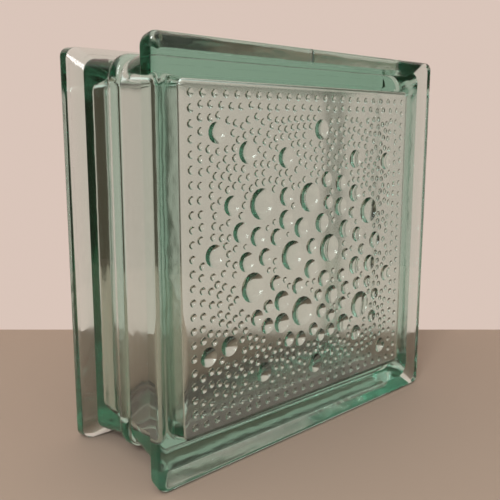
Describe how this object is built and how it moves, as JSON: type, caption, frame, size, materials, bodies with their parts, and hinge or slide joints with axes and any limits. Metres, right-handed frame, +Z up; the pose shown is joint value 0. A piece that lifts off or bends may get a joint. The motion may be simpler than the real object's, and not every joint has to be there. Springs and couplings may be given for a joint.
{
  "type": "glass block",
  "caption": "Square hollow glass building block with mortar grooves around its edge and a pattern of domed bubbles inside the front face.",
  "frame": {"origin": "on the resting plane, under the middle of the block, on the seam plane between the two halves", "axes": "+X along the width, +Z up as the block is laid, -Y out of the bubble-patterned front face"},
  "size_m": [0.197, 0.079, 0.197],
  "materials": {
    "glass": "clear pressed glass with a light green tint, smooth and fire-polished"
  },
  "bodies": {
    "root": {"front_half": "glass", "back_half": "glass"}
  },
  "joints": []
}
